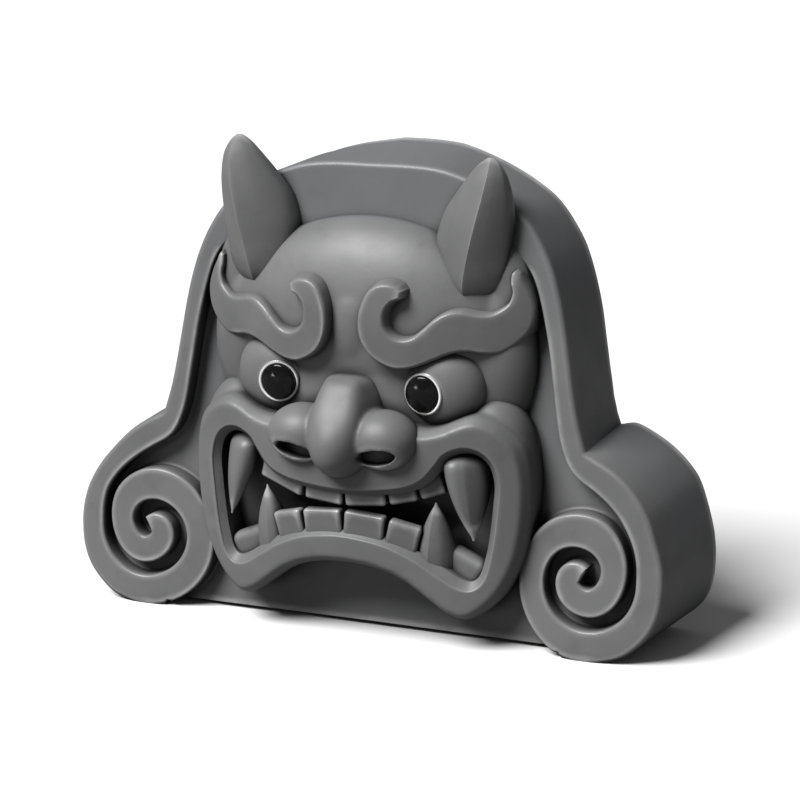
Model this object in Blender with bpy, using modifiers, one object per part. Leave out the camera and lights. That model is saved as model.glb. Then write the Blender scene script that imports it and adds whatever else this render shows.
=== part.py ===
"""Onigawara, the ogre-face tile that closes the end of a roof ridge, in dark smoked clay.

The tile is one press-moulded body: a slab whose raised rim runs down into two scrolls, and an ogre's head
that stands out of the sunk panel between them. Two glossy pupils are let into the eyes. The tile stands on
the feet under its scrolls, faces -Y, and has a flat back with one wide pocket.

Outlines are lists of (across, up) and depths run along Y, all in millimetres from MIDDLE, a point inside the
nose. Forms are described on the +X side, and the -X side is their mirror image, but for the horns, the upper
teeth, the lean of the scrolls and the back edge.
"""

import math

import bmesh
import bpy
from mathutils import Matrix, Vector

MM = 0.001
MIDDLE = Vector((0.0, -17.0, 140.4))
GAP = 0.3

# Slab
BACK_Y = 76.0
RIM_Y = 18.15               # front of the rim at MIDDLE's level
RIM_LEAN = 0.135            # how far the rim leans back for each millimetre up
RIM_EDGE = 3.0
PANEL_DEPTH = 12.0          # how far the panel is sunk behind the rim
AHEAD = -80.0               # in front of the whole tile and behind it, where cutters start
BEHIND = 96.0
# How far the hand-pressed back stands out: above the arch from its left shoulder to its right one, beside the
# arch from the scrolls up, beside the left and the right scroll, and above them
CROWN_FLARE = [(-150.0, 0.0), (-70.0, 0.0), (-45.0, 1.0), (-20.0, 6.0), (5.0, 10.0), (45.0, 9.5),
               (85.0, 7.5), (115.0, 5.0), (150.0, 3.0)]
SIDE_FLARE = [(-16.0, 1.6), (15.0, 4.1), (60.0, 6.3), (97.0, 6.8), (125.0, 4.5), (140.0, 2.0)]
SIDE_FLARE_STARTS = (95.0, 55.0)
SCROLL_SIDE_FLARE = (3.0, 11.0)
SCROLL_TOP_FLARE = (2.0, 10.0)
SCROLL_LEAN = 4.0           # both scrolls are carved this much to the left
FOOT_Z = -140.4             # flat foot under each scroll
FOOT_TRIM = (600.0, 200.0, 40.0)

# Front outline of the slab, from the middle of the arch to the middle of the bottom edge
ARCH = [(0, 150.5), (25, 150.5), (45, 148.8), (62, 144.2), (76, 138.5), (90, 130.5), (103, 120.5),
        (113, 106.5), (120, 92), (125, 77), (129, 60), (132.5, 40), (136, 20), (139.5, 3), (143.6, -11),
        (144.9, -14.6)]
SCROLL_SIDE = [(146.6, -15.6), (152, -18.2), (162.5, -23.8), (172, -31), (180.5, -40), (189, -51.5),
               (196, -66), (200, -79.5), (200.9, -92.5), (199, -108), (192.5, -122), (179, -135),
               (165, -140.8), (152, -142.8), (140, -141.2), (132.5, -138), (126, -137.4), (108, -137.3)]
BOTTOM = [(60, -137.2), (0, -137)]

# Inner edge of the rim, down to the mouth of the scroll's groove
RIM_INNER = [(62, 108), (90, 105), (100, 97), (106, 89.5), (110, 81), (113.5, 70), (116.5, 58), (119.5, 44),
             (122, 28), (124.5, 12), (127, -3), (130, -14), (134.5, -24), (141, -31), (151, -37),
             (162, -44.5), (172, -54), (180, -66), (183.5, -78)]

# Ribbon of the scroll: its edges at each quarter turn, from the outer side, down and round
SCROLL_CENTRE = (153.0, -90.5)
RIBBON_OUTER = [49.0, 51.4, 47.6, 38.2, 24.6, 23.3, 20.4, 6.0, 4.5]
RIBBON_INNER = [31.0, 32.0, 29.0, 17.0, 7.4, 6.3, 5.6]
RIBBON_START = 1.2
RIBBON_ENDS = (5.7, 6.95)   # quarter turns at which the groove's outer and inner wall end
GROOVE_STEPS = 26

# Back pocket
POCKET_FLOOR_Y = 48.0
POCKET_EDGE = 6.0
POCKET = [(0, 116), (40, 115), (68, 107), (87, 92), (98, 70), (104, 40), (109, 10), (113, -20), (116, -60),
          (114, -94), (100, -104), (60, -105), (0, -105)]

# Head: centre and radii of its round forms
DOME = ((0.0, 35.0, 50.0), (99.0, 40.0, 69.0))
FACE = ((0.0, 34.5, 6.0), (103.0, 38.5, 78.0))
GLABELLA = ((0.0, 10.0, 50.0), (22.0, 20.0, 24.0))
TEMPLE = ((81.0, 34.0, 36.0), (28.5, 22.5, 52.0))
HORN_SEAT = ((90.0, 37.0, 72.0), (18.0, 16.0, 36.0))
CHEEK = ((86.0, 22.0, -22.0), (26.0, 27.0, 37.0))
LOBE = ((94.0, 33.0, -30.0), (21.0, 20.0, 36.0))
JOWL = ((85.0, 34.0, -56.0), (23.0, 20.0, 44.0))
JAW = [(0, -4), (40, -1), (50, -1.5), (56, -1), (63, 1), (70, 4.2), (78, 7), (86, 7.2), (96, 3.5),
       (104.5, -3.5), (110.5, -12), (113.8, -25), (115, -40), (113.5, -61), (110, -80), (104, -95),
       (97, -106), (88, -115), (77, -120.5), (65, -117), (54, -109), (42, -100), (29, -93.5), (15, -90),
       (0, -89)]
JAW_BACK_Y = 32.0
JAW_EDGE = 5.0
MOUTH = [(0, -41), (20, -40), (40, -37), (52, -31.5), (60, -22.5), (66, -15), (76, -11), (86, -13),
         (94, -21), (97.5, -34), (96.5, -50), (94.5, -68), (92, -82), (88, -94), (81, -99.5), (72, -98),
         (60, -90.5), (46, -81.5), (30, -74.5), (15, -71.3), (0, -70)]
MOUTH_FLOOR_Y = 14.0
# Edge of a brow's flat face. Its sides slope out from there
BROW = [(36, 81.2), (32, 83.8), (24.8, 84.3), (19, 81.3), (15.7, 76.5), (12.9, 69), (12, 61), (13.2, 53),
        (17, 45.5), (22.5, 40.5), (30, 36.8), (36, 35.8), (44, 37), (54, 40.8), (62, 44.3), (69, 46.2),
        (76, 46.4), (84, 45), (92, 44.8), (99, 48.5), (105, 54), (108.8, 61), (109.5, 70), (106.5, 79),
        (102.5, 86), (99.5, 91), (98.8, 86), (100, 79), (98, 72.5), (93.5, 68.5), (87.5, 65.7), (80, 66),
        (72, 68), (64.5, 67.5), (57.5, 63.5), (51.5, 58), (45.5, 53), (40, 51.2), (34.5, 51.5), (29.5, 54.5),
        (26.2, 59.5), (25.5, 66.5), (27.3, 72.3), (31.2, 76.6), (35.5, 78.3)]
BROW_BACK_Y = 34.0
BROW_SLOPE = 2.6

# Eyes and pupils
EYE = ((54.5, 15.0, 20.0), (29.5, 20.5, 29.0))
PUPIL_AT = (48.8, -5.9, 18.8)
PUPIL_RADIUS = 11.2
PUPIL_DEEP = 4.0
PUPIL_SIDES = 20
LASH_RADIUS = 12.4          # raised ring around a pupil
LASH_WIDTH = 3.6
LASH_BEHIND = 2.6           # how far it lies behind the pupil's front, and how it leans with the eye
LASH_TURN = -8.0
LASH_SIDES = 5

# Nose: level, half width, front and how round its section is, from the top of the bridge to under the ball
NOSE = [(27.5, 8.0, -7.0, 0.0), (25.0, 15.5, -15.5, 0.0), (15.0, 21.5, -25.0, 0.0), (5.0, 24.0, -32.5, 0.15),
        (-5.0, 25.0, -39.5, 0.6), (-13.0, 25.0, -42.0, 0.9), (-21.0, 23.0, -40.5, 1.0),
        (-28.0, 18.0, -34.5, 1.0), (-32.0, 11.5, -27.0, 1.0), (-33.5, 5.0, -20.0, 1.0)]
NOSE_BACK_Y = 6.0
# Right half of the bridge's section, for a half width and a height of 1
NOSE_SECTION = [(1.0, 0.0), (0.82, 0.55), (0.62, 0.9), (0.4, 1.0), (0.0, 1.0)]
WING = ((27.0, -14.0, -9.0), (23.0, 20.0, 18.5))
NOSTRIL = ((27.5, -28.0, -16.5), (12.5, 16.0, 5.4))

# Front teeth of a jaw: where one ends and the next begins, on the right and on the left, the tips' level in
# the middle and how it bows, the roots' level, the fronts' depth in the middle and how it bows
UPPER_TEETH = (([0.0, 27.0, 45.0, 61.0], [0.0, 27.0, 61.0]), -52.5, 0.0028, -34.0, -18.0, 0.0034)
LOWER_TEETH = (([0.0, 27.0, 48.0], [0.0, 27.0, 48.0]), -55.0, -0.0035, -78.0, -21.0, 0.0024)
TOOTH_THICK = 10.0
TOOTH_GAP = 1.6
TOOTH_EDGE = 2.0
CORNER_TOOTH_AT = (72.0, 2.0, -90.0)
CORNER_TOOTH_SIZE = (27.0, 13.0, 21.0)
CORNER_TOOTH_TURN = 24.0
# Fangs: root, tip, radius, how far the section is turned and how flat it is
FANGS = [("upper_fang", (74.5, 3.0, -15.5), (82.8, -9.4, -68.3), 16.5, 48.0, 0.6),
         ("lower_fang", (55.0, -1.0, -93.0), (57.6, -7.5, -47.5), 13.0, 20.0, 0.9)]
FANG_SECTION = [(-0.4, -1.05), (0.45, -0.9), (1.0, -0.15), (0.7, 0.7), (0.0, 0.9), (-0.7, 0.7), (-1.0, 0.0),
                (-0.85, -0.6)]
FANG_RINGS = 5
FANG_POINT = 0.06           # size of a fang's tip

# Horn: level, middle across, middle depth, size, how far the ridge is moved across and the back's depth, from
# foot to tip. The back of the lower half is sunk in the slab
HORN = [(77.0, 72.0, 21.0, 6.0, -1.2, 50.0), (79.5, 72.0, 22.5, 14.0, -2.8, 50.0),
        (84.5, 72.0, 23.5, 20.5, -4.0, 50.0), (92.0, 72.3, 24.3, 24.3, -3.8, 50.0),
        (102.0, 72.8, 25.0, 26.0, -2.4, 50.0), (114.0, 74.0, 25.0, 26.2, -0.6, 50.0),
        (128.0, 77.4, 24.6, 23.6, 0.0, 37.8), (141.0, 81.4, 24.0, 18.4, 0.0, 34.3),
        (152.0, 84.2, 24.0, 12.5, 0.0, 31.0), (159.0, 85.2, 25.5, 7.0, 0.0, 29.4),
        (162.6, 85.5, 27.0, 2.0, 0.0, 28.1)]
# Section of a horn of size 1: its front, from the inner side over the ridge to the outer side, and its back,
# measured from the back's depth
HORN_SECTION = [(-0.92, 0.0), (-0.46, -0.37), (0.2, -0.64), (0.52, -0.42), (0.82, -0.1), (0.84, 0.16)]
HORN_BACK = [(0.78, -0.12), (-0.1, 0.0), (-0.94, 0.0), (-1.04, -0.24)]
HORN_RIDGE = 2              # which corner of the section is the ridge
# How much longer the right and the left horn are than that, and how far they are moved across and up
HORN_CHANGES = {1: (1.0, -2.0, -3.7), -1: (1.073, 0.0, -2.5)}

# How finely curves and round forms are divided
OUTLINE_STEP = 15.0
SHARP_STEP = 11.0
BROAD_STEP = 18.0
JAW_STRIPS = 24.0
BROW_STRIPS = 22.0
ROUND = (24, 12)            # segments and rings of a large egg, then of smaller ones
ROUNDISH = (16, 10)
SMALL = (12, 8)


def clean_scene():
    for item in list(bpy.data.objects):
        bpy.data.objects.remove(item, do_unlink=True)


def new_collection(name):
    group = bpy.data.collections.new(name)
    bpy.context.scene.collection.children.link(group)
    return group


def clay(name, colour, roughness):
    material = bpy.data.materials.new(name)
    material.use_nodes = True
    shader = material.node_tree.nodes["Principled BSDF"]
    shader.inputs["Base Color"].default_value = (*colour, 1.0)
    shader.inputs["Roughness"].default_value = roughness
    shader.inputs["Metallic"].default_value = 0.0
    return material


def ease(value):
    value = min(max(value, 0.0), 1.0)
    return value * value * (3.0 - 2.0 * value)


def spot(across, depth, up):
    """A place on the tile, in metres"""
    return (MIDDLE + Vector((across, depth, up))) * MM


# Fronts of the forms: the depth at a place across and up

def rim_front(across, up):
    return RIM_Y + RIM_LEAN * up


def panel_front(across, up):
    return rim_front(across, up) + PANEL_DEPTH


def level_with(depth):
    """A flat front or back"""
    return lambda across, up: depth


def brow_front(across, up):
    return -14.0 + 0.0031 * across ** 2 + 0.003 * max(up - 50.0, 0.0) ** 2


def jaw_front(across, up):
    return -21.0 + 0.0018 * across ** 2 + 0.04 * up


def level_in(table, value):
    """Straight-line reading of a table of (place, level)"""
    for (start, low), (end, high) in zip(table, table[1:]):
        if value <= end:
            return low + (high - low) * max(value - start, 0.0) / (end - start)
    return table[-1][1]


def flare(across, up):
    """Steps across and up from the slab's front outline to its back one"""
    far = abs(across)
    right = across > 0.0
    sideways = level_in(SIDE_FLARE, up) * ease((far - SIDE_FLARE_STARTS[right]) / 40.0)
    if up < 0.0:
        sideways += (SCROLL_SIDE_FLARE[right] - sideways) * ease((far - 150.0) / 45.0)
        upwards = SCROLL_TOP_FLARE[right] * ease((far - 138.0) / 20.0) * ease((up + 100.0) / 50.0)
    else:
        upwards = level_in(CROWN_FLARE, across) * ease((up - 45.0) / 70.0)
    return math.copysign(sideways, across), upwards


def lean(across, up):
    """How far a place on the scrolls is carved to the left"""
    return SCROLL_LEAN * ease((abs(across) - 100.0) / 45.0) * ease((-up - 30.0) / 40.0)


# Outlines

def between(a, b, c, d, t):
    """Point of a smooth curve between b and c"""
    bend = (2 * a - 5 * b + 4 * c - d) * t ** 2
    return 0.5 * (2 * b + (c - a) * t + bend + (3 * b - a - 3 * c + d) * t ** 3)


def closed_curve(points, step):
    """Smooth closed curve through the points, with about one point for each step of length"""
    count = len(points)
    path = []
    for i in range(count):
        a, b, c, d = (Vector(points[(i + k) % count]) for k in (-1, 0, 1, 2))
        pieces = max(1, round((c - b).length / step))
        path += [between(a, b, c, d, j / pieces) for j in range(pieces)]
    return path


def both_sides(half, step):
    """Closed outline of a form that crosses the middle, from its +X half"""
    twin = [(-across, up) for across, up in reversed(half) if across > 0]
    return closed_curve(half + twin, step)


def ribbon_edge(radii, quarter):
    """Place on a ribbon's edge, some quarter turns from its outer side, down and round"""
    i = min(int(quarter), len(radii) - 2)
    ends = (radii[max(i - 1, 0)], radii[i], radii[i + 1], radii[min(i + 2, len(radii) - 1)])
    angle = -quarter * math.pi / 2
    return Vector(SCROLL_CENTRE) + between(*ends, quarter - i) * Vector((math.cos(angle), math.sin(angle)))


# Solids

def finish_mesh(name, shape, group):
    bmesh.ops.recalc_face_normals(shape, faces=shape.faces)
    mesh = bpy.data.meshes.new(name)
    shape.to_mesh(mesh)
    shape.free()
    item = bpy.data.objects.new(name, mesh)
    group.objects.link(item)
    item.hide_render = True
    item.display_type = "WIRE"
    return item


def relief(name, loop, edge, front, back, group, spread=None, strips=0.0, slope=0.0):
    """A form with a round-edged outline, whose front and back follow the two depths. A front that is curved
    across is cut into strips, and sides that slope out make its foot wider than its outline"""
    half = edge + 1.0
    curve = bpy.data.curves.new(name, "CURVE")
    curve.dimensions = "2D"
    curve.fill_mode = "BOTH"
    curve.extrude = half - edge
    curve.bevel_depth = edge
    curve.bevel_resolution = 1
    curve.offset = slope - edge
    spline = curve.splines.new("POLY")
    spline.points.add(len(loop) - 1)
    spline.use_cyclic_u = True
    for point, place in zip(spline.points, loop):
        point.co = (place[0], place[1], 0.0, 1.0)
    outline = bpy.data.objects.new(name, curve)
    group.objects.link(outline)
    bpy.context.view_layer.update()
    flat = bpy.data.meshes.new_from_object(outline.evaluated_get(bpy.context.evaluated_depsgraph_get()))
    bpy.data.objects.remove(outline)

    shape = bmesh.new()
    shape.from_mesh(flat)
    bmesh.ops.remove_doubles(shape, verts=shape.verts, dist=0.01)
    bmesh.ops.dissolve_faces(shape, faces=[face for face in shape.faces if face.normal.z < -0.99])
    reach = max(corner.co.x for corner in shape.verts)
    for i in range(1, int(reach / strips) + 1 if strips else 0):
        for side in (-1, 1):
            bmesh.ops.bisect_plane(shape, geom=shape.verts[:] + shape.edges[:] + shape.faces[:], dist=0.01,
                                   plane_co=(side * i * strips, 0.0, 0.0), plane_no=(1.0, 0.0, 0.0))
    for corner in shape.verts:
        across, up, height = corner.co
        if height > 0.0:
            depth = front(across, up) + half - height
        else:
            depth = back(across, up) - half - height
            if spread:
                step = spread(across, up)
                across, up = across + step[0], up + step[1]
        corner.co = spot(across - lean(across, up), depth, up)
    return finish_mesh(name, shape, group)


def egg(name, centre, radii, group, fineness):
    segments, rings = fineness
    shape = bmesh.new()
    place = Matrix.Translation(spot(*centre)) @ Matrix.Diagonal((*(Vector(radii) * MM), 1.0))
    bmesh.ops.create_uvsphere(shape, u_segments=segments, v_segments=rings, radius=1.0, matrix=place)
    return finish_mesh(name, shape, group)


def loft(name, rings, group):
    """Closed solid through rings of equal count"""
    shape = bmesh.new()
    corners = [[shape.verts.new(place) for place in ring] for ring in rings]
    count = len(rings[0])
    for low, high in zip(corners, corners[1:]):
        for i in range(count):
            j = (i + 1) % count
            shape.faces.new((low[i], low[j], high[j], high[i]))
    shape.faces.new(corners[0][::-1])
    shape.faces.new(corners[-1])
    return finish_mesh(name, shape, group)


def mirror(item):
    twin = item.modifiers.new("other side", "MIRROR")
    twin.merge_threshold = 0.00001
    return item


def combine(body, item, operation):
    change = body.modifiers.new(item.name, "BOOLEAN")
    change.object = item
    change.operation = operation
    change.solver = "EXACT"


# The tile's forms

def make_slab(group):
    outline = both_sides(ARCH + SCROLL_SIDE + BOTTOM, OUTLINE_STEP)
    return relief("slab", outline, RIM_EDGE, rim_front, level_with(BACK_Y), group, flare)


def panel_cutter(group):
    """The sunk part: the panel between rim and scrolls, and the grooves that curl off it"""
    outer_end, inner_end = RIBBON_ENDS
    steps = [i / GROOVE_STEPS for i in range(GROOVE_STEPS + 1)]
    outer_wall = [ribbon_edge(RIBBON_INNER, outer_end * part)[:] for part in steps]
    back = RIBBON_START - inner_end
    inner_wall = [ribbon_edge(RIBBON_OUTER, inner_end + back * part)[:] for part in steps]
    half = [(0, 100)] + RIM_INNER + outer_wall + inner_wall + [(132, -160), (0, -160)]
    return relief("panel_cutter", both_sides(half, OUTLINE_STEP), 1.0, level_with(AHEAD), panel_front, group)


def make_horn(side, group):
    longer, aside, higher = HORN_CHANGES[side]
    foot = HORN[0][0]
    rings = []
    for level, across, depth, size, ridge_step, back in HORN:
        level = foot + (level - foot) * longer + higher
        across += aside
        ring = [[across + size * x, depth + size * y] for x, y in HORN_SECTION]
        ring += [[across + size * x, back + size * y] for x, y in HORN_BACK]
        ring[HORN_RIDGE][0] += ridge_step
        rings.append([spot(side * far, deep, level) for far, deep in ring])
    return loft("horn", rings, group)


def make_fang(name, root, tip, radius, turn, flat, group):
    """A fang with a blunt ridge down its front, from root to tip"""
    turned = Matrix.Rotation(math.radians(turn), 2) @ Matrix.Diagonal((1.0, flat))
    section = [turned @ Vector(place) for place in FANG_SECTION]
    rings = []
    for i in range(FANG_RINGS + 1):
        along = i / FANG_RINGS
        centre = Vector(root).lerp(Vector(tip), along)
        size = radius * max(1.0 - along ** 2.2, FANG_POINT)
        rings.append([spot(centre.x + size * x, centre.y + size * y, centre.z) for x, y in section])
    return mirror(loft(name, rings, group))


def block(name, place, size, group):
    shape = bmesh.new()
    bmesh.ops.create_cube(shape, size=1.0, matrix=place @ Matrix.Diagonal((*(Vector(size) * MM), 1.0)))
    bmesh.ops.bevel(shape, geom=shape.edges[:], offset=TOOTH_EDGE * MM, segments=1, profile=0.5,
                    affect="EDGES", material=-1)
    return finish_mesh(name, shape, group)


def make_teeth(name, row, group):
    """Front teeth of one jaw. The tips' level and the fronts' depth bow with the jaw"""
    both_edges, tip, rise, root, front, bow = row
    teeth = []
    for side, edges in zip((1, -1), both_edges):
        for start, end in zip(edges, edges[1:]):
            middle = side * (start + end) / 2
            slope = math.atan(2 * rise * middle)
            turn = math.atan(2 * bow * middle)
            centre = spot(middle, front + bow * middle ** 2 + TOOTH_THICK / 2,
                          tip + rise * middle ** 2 + (root - tip) / 2)
            turned = Matrix.Rotation(-slope, 4, "Y") @ Matrix.Rotation(turn, 4, "Z")
            place = Matrix.Translation(centre) @ turned
            size = (end - start - TOOTH_GAP, TOOTH_THICK, abs(root - tip))
            teeth.append(block(name, place, size, group))
    return teeth


def make_corner_tooth(group):
    place = (Matrix.Translation(spot(*CORNER_TOOTH_AT))
             @ Matrix.Rotation(math.radians(CORNER_TOOTH_TURN), 4, "Y"))
    return mirror(block("corner_tooth", place, CORNER_TOOTH_SIZE, group))


def make_nose(group):
    half = NOSE_SECTION[:-1]
    section = NOSE_SECTION + [(-x, y) for x, y in reversed(half)]
    last = len(section) - 1
    rings = []
    for level, width, front, roundness in NOSE:
        ring = []
        for i, (x, y) in enumerate(section):
            turn = math.pi * i / last
            x += (math.cos(turn) - x) * roundness
            y += (math.sin(turn) - y) * roundness
            ring.append(spot(width * x, NOSE_BACK_Y + (front - NOSE_BACK_Y) * y, level))
        rings.append(ring)
    return loft("nose", rings, group)


def make_lash(group):
    """Raised ring around a pupil"""
    across, depth, up = PUPIL_AT
    bpy.ops.mesh.primitive_torus_add(major_segments=PUPIL_SIDES, minor_segments=LASH_SIDES,
                                     major_radius=LASH_RADIUS * MM, minor_radius=LASH_WIDTH / 2 * MM,
                                     location=spot(across, depth + LASH_BEHIND, up),
                                     rotation=(math.pi / 2, 0.0, math.radians(LASH_TURN)))
    ring = bpy.context.object
    bpy.ops.object.transform_apply(location=True, rotation=True, scale=True)
    ring.name = "lash"
    for holder in list(ring.users_collection):
        holder.objects.unlink(ring)
    group.objects.link(ring)
    ring.hide_render = True
    ring.display_type = "WIRE"
    return mirror(ring)


def disc(name, radius, thick, side, group):
    """Round disc in an eye, whose front lies at the pupil's place"""
    shape = bmesh.new()
    across, depth, up = PUPIL_AT
    centre = Matrix.Translation(spot(side * across, depth + thick / 2, up))
    bmesh.ops.create_cone(shape, cap_ends=True, segments=PUPIL_SIDES, radius1=radius * MM,
                          radius2=radius * MM, depth=thick * MM,
                          matrix=centre @ Matrix.Rotation(math.pi / 2, 4, "X"))
    return finish_mesh(name, shape, group)


def foot_cutter(group):
    """What is trimmed off under the scrolls, so that they stand flat"""
    shape = bmesh.new()
    place = Matrix.Translation(spot(0.0, 0.0, FOOT_Z - FOOT_TRIM[2] / 2))
    bmesh.ops.create_cube(shape, size=1.0, matrix=place @ Matrix.Diagonal((*(Vector(FOOT_TRIM) * MM), 1.0)))
    return finish_mesh("foot_cutter", shape, group)


def show(item, name, material, group, forms):
    item.name = name
    forms.objects.unlink(item)
    group.objects.link(item)
    item.hide_render = False
    item.display_type = "TEXTURED"
    item.data.materials.append(material)
    return item


def add(body, item):
    combine(body, item, "UNION")


def carve(body, item):
    combine(body, item, "DIFFERENCE")


def add_head(tile, forms):
    add(tile, egg("dome", *DOME, forms, ROUND))
    add(tile, egg("face", *FACE, forms, ROUND))
    add(tile, egg("glabella", *GLABELLA, forms, SMALL))
    add(tile, mirror(egg("temple", *TEMPLE, forms, ROUNDISH)))
    add(tile, mirror(egg("horn_seat", *HORN_SEAT, forms, SMALL)))
    add(tile, mirror(egg("lobe", *LOBE, forms, SMALL)))
    add(tile, mirror(egg("jowl", *JOWL, forms, SMALL)))
    add(tile, mirror(egg("cheek", *CHEEK, forms, ROUNDISH)))
    jaw = both_sides(JAW, OUTLINE_STEP)
    add(tile, relief("jaw", jaw, JAW_EDGE, jaw_front, level_with(JAW_BACK_Y), forms, strips=JAW_STRIPS))
    mouth = both_sides(MOUTH, SHARP_STEP)
    carve(tile, relief("mouth_cutter", mouth, 1.0, level_with(AHEAD), level_with(MOUTH_FLOOR_Y), forms))


def add_face(tile, forms):
    add(tile, mirror(egg("eye", *EYE, forms, ROUNDISH)))
    brow = closed_curve(BROW, SHARP_STEP)
    add(tile, mirror(relief("brow", brow, BROW_SLOPE, brow_front, level_with(BROW_BACK_Y), forms,
                            strips=BROW_STRIPS, slope=BROW_SLOPE)))
    for side in HORN_CHANGES:
        add(tile, make_horn(side, forms))
    add(tile, make_nose(forms))
    add(tile, mirror(egg("wing", *WING, forms, ROUNDISH)))
    carve(tile, mirror(egg("nostril_cutter", *NOSTRIL, forms, SMALL)))
    for name, row in (("upper_tooth", UPPER_TEETH), ("lower_tooth", LOWER_TEETH)):
        for tooth in make_teeth(name, row, forms):
            add(tile, tooth)
    for fang in FANGS:
        add(tile, make_fang(*fang, forms))
    add(tile, make_corner_tooth(forms))
    add(tile, make_lash(forms))
    carve(tile, mirror(disc("pupil_cutter", PUPIL_RADIUS + GAP, PUPIL_DEEP + GAP, 1, forms)))


def build():
    clean_scene()
    parts = new_collection("onigawara")
    forms = new_collection("forms")

    tile = show(make_slab(forms), "ogre_tile", clay("smoked_clay", (0.16, 0.163, 0.17), 0.55), parts, forms)
    carve(tile, panel_cutter(forms))
    add_head(tile, forms)
    add_face(tile, forms)
    pocket = both_sides(POCKET, BROAD_STEP)
    floor, behind = level_with(POCKET_FLOOR_Y), level_with(BEHIND)
    carve(tile, relief("pocket_cutter", pocket, POCKET_EDGE, floor, behind, forms))
    carve(tile, foot_cutter(forms))

    black = clay("black_glaze", (0.012, 0.012, 0.013), 0.12)
    for name, side in (("pupil_right", 1), ("pupil_left", -1)):
        show(disc(name, PUPIL_RADIUS, PUPIL_DEEP, side, forms), name, black, parts, forms)


build()
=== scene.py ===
import math

import bmesh
import bpy
from mathutils import Matrix, Vector


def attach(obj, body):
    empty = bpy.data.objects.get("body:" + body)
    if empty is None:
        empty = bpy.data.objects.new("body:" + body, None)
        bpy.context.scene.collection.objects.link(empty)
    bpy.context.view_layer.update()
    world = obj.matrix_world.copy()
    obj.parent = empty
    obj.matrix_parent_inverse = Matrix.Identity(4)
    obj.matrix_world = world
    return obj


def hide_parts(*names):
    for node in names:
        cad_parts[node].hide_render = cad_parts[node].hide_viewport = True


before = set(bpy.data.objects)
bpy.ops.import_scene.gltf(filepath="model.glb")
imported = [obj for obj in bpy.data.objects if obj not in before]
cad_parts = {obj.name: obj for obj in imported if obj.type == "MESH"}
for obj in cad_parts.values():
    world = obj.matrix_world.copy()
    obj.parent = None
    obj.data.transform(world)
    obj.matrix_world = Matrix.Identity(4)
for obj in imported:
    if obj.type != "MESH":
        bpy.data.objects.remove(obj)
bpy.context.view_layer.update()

mm = 0.001
middle = Vector((0.0, -17.0, 140.4))      # a point inside the nose: places are measured from it
ahead = -80.0                             # in front of the whole tile, where cutters start
behind = 96.0                             # behind it, where the pocket's cutter starts
curves = {
    # corners closer than this share of a step are left out
    "closest": 0.35,
    # how far an outline may be drawn in: at most, as a share of the space ahead, which counts from this
    # slant on, and over how many corners to each side the least of it holds
    "farthest": 50.0, "share": 0.4, "slant": 0.2, "spread": 2,
}


def spot(across, depth, up):
    # a place on the tile, in metres
    return (middle + Vector((across, depth, up))) * mm


def easeIn(value, limits):
    # 0 up to the first limit, 1 from the second one on
    start, end = limits
    share = min(max((value - start) / (end - start), 0.0), 1.0)
    return share * share * (3.0 - 2.0 * share)


def between(a, b, c, d, t):
    # smooth curve from b to c
    bend = (2 * a - 5 * b + 4 * c - d) * t * t
    return 0.5 * (2 * b + (c - a) * t + bend + (3 * b - a - 3 * c + d) * t ** 3)


def closedCurve(points, step):
    count = len(points)
    path = []
    for i in range(count):
        a, b, c, d = (Vector(points[(i + k) % count]) for k in (-1, 0, 1, 2))
        pieces = max(1, round((c - b).length / step))
        for j in range(pieces):
            place = between(a, b, c, d, j / pieces)
            if not path or (place - path[-1]).length > step * curves["closest"]:
                path.append(place)
    return path


def openCurve(points, count):
    # a given number of points spread along a smooth curve that starts and ends at the first and last point
    points = [Vector(point) for point in points]
    path = []
    for k in range(count):
        along = k / (count - 1) * (len(points) - 1)
        i = min(int(along), len(points) - 2)
        a = points[max(i - 1, 0)]
        d = points[min(i + 2, len(points) - 1)]
        path.append(between(a, points[i], points[i + 1], d, along - i))
    return path


def bothSides(half, step):
    # closed outline of a form that crosses the middle, from its right half
    twin = [(-across, up) for across, up in reversed(half) if across > 0]
    return closedCurve(half + twin, step)


def sidesOf(outline):
    # the way in at each place of an outline that runs anticlockwise
    return [(outline[(i + 1) % len(outline)] - outline[i - 1]).normalized().orthogonal()
            for i in range(len(outline))]


def roomOf(outline, sides):
    # how far each place can go that way before the outline closes in on it
    room = []
    for place, side in zip(outline, sides):
        steps = [other - place for other in outline]
        limits = [curves["share"] * step.length_squared / step.dot(side) for step in steps
                  if step.dot(side) > curves["slant"]]
        room.append(min([curves["farthest"]] + limits))
    count = len(room)
    near = range(-curves["spread"], curves["spread"] + 1)
    least = [min(room[(i + k) % count] for k in near) for i in range(count)]
    return [sum(least[(i + k) % count] for k in near) / len(near) for i in range(count)]


baseLevel = -1.0                          # the height that stands for the back of a raised form


def atBase(height):
    return height < baseLevel / 2


def allOf(shape):
    return shape.verts[:] + shape.edges[:] + shape.faces[:]


def formFrom(shape, name, both=False):
    if both:
        bmesh.ops.mirror(shape, geom=allOf(shape), merge_dist=0.0, axis="X")
    bmesh.ops.triangulate(shape, faces=[face for face in shape.faces if len(face.verts) > 4])
    bmesh.ops.recalc_face_normals(shape, faces=shape.faces)
    mesh = bpy.data.meshes.new(name)
    shape.to_mesh(mesh)
    shape.free()
    form = bpy.data.objects.new(name, mesh)
    bpy.context.scene.collection.objects.link(form)
    return form


def roundOver(edge, start=0.0, rounds=5):
    # how far in and how high the rings lie that round an edge over, from its side wall to its front
    angles = [math.pi / 2 * i / rounds for i in range(rounds + 1)]
    return [(edge * (1.0 - math.cos(angle)), start + edge * math.sin(angle)) for angle in angles]


def openOut(edge):
    # the same for a cutter that opens out towards the front, to round the edge that it leaves
    return [(-inset, edge - height) for inset, height in roundOver(edge)][::-1]


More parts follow.
